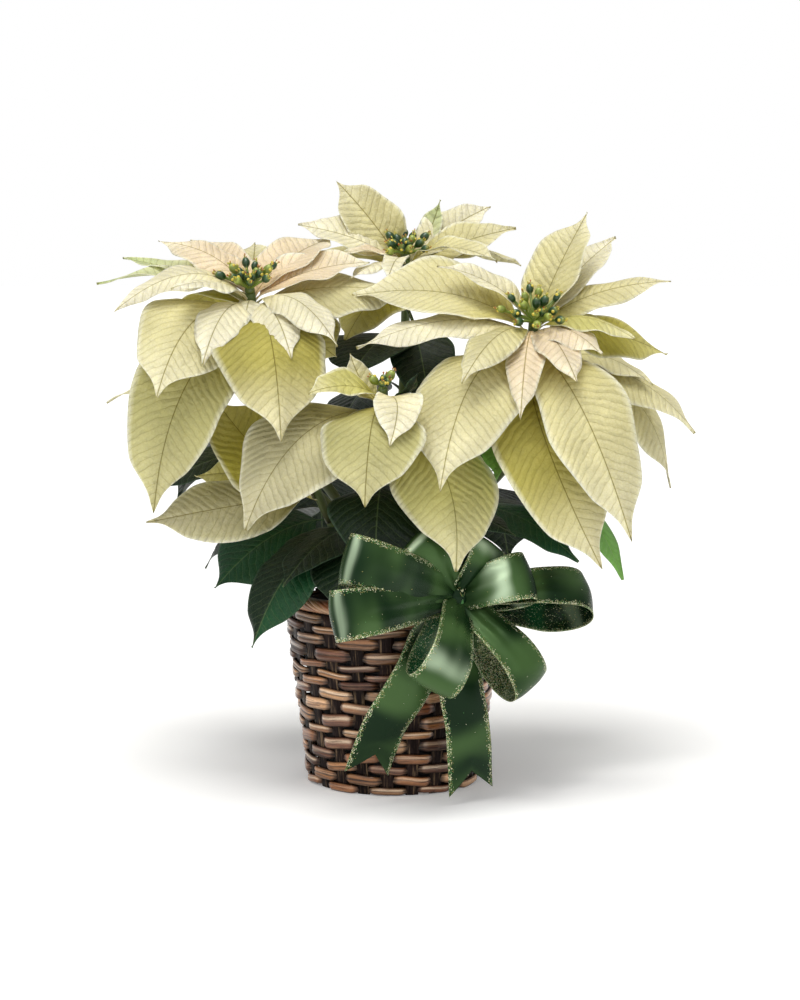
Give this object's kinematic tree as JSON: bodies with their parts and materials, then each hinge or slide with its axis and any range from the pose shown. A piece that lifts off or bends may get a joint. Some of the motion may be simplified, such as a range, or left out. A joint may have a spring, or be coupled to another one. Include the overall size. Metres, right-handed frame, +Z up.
{
  "type": "potted poinsettia",
  "caption": "A cream poinsettia growing in a plastic pot inside a tapered woven wicker basket, with a green ribbon bow tied to the basket's rolled border.",
  "frame": {"origin": "on the floor under the middle of the basket's foot", "axes": "+Z up along the basket's axis, -Y the front that shows the bow, +X to the right as seen from the front"},
  "size_m": [0.4739, 0.3947, 0.4657],
  "materials": {
    "wicker": "flat splints stained brown, with a thin satin varnish",
    "pot": "thin black nursery plastic, matte",
    "soil": "damp dark peat compost, rough",
    "foliage": "dark green leaves with a waxy sheen, brown-green stems",
    "bract": "thin cream bracts, matte and slightly translucent",
    "cyathia": "small fleshy green cups, waxy",
    "ribbon": "green satin with gold glitter along its wired edges",
    "wire": "green coated florist's wire"
  },
  "bodies": {
    "root": {"basket_base": "wicker", "basket_border": "wicker", "basket_weave": "wicker", "grow_pot": "pot", "soil": "soil", "plant": "foliage", "bloom_left": "bract", "bloom_top": "bract", "bloom_right": "bract", "bloom_front": "bract", "bloom_low_left": "bract", "bloom_back_left": "bract", "bloom_back_right": "bract", "cyathia_left": "cyathia", "cyathia_top": "cyathia", "cyathia_right": "cyathia", "cyathia_front": "cyathia", "cyathia_low_left": "cyathia", "cyathia_back_left": "cyathia", "cyathia_back_right": "cyathia", "ribbon_bow": "ribbon", "tie_wire": "wire"}
  },
  "joints": []
}
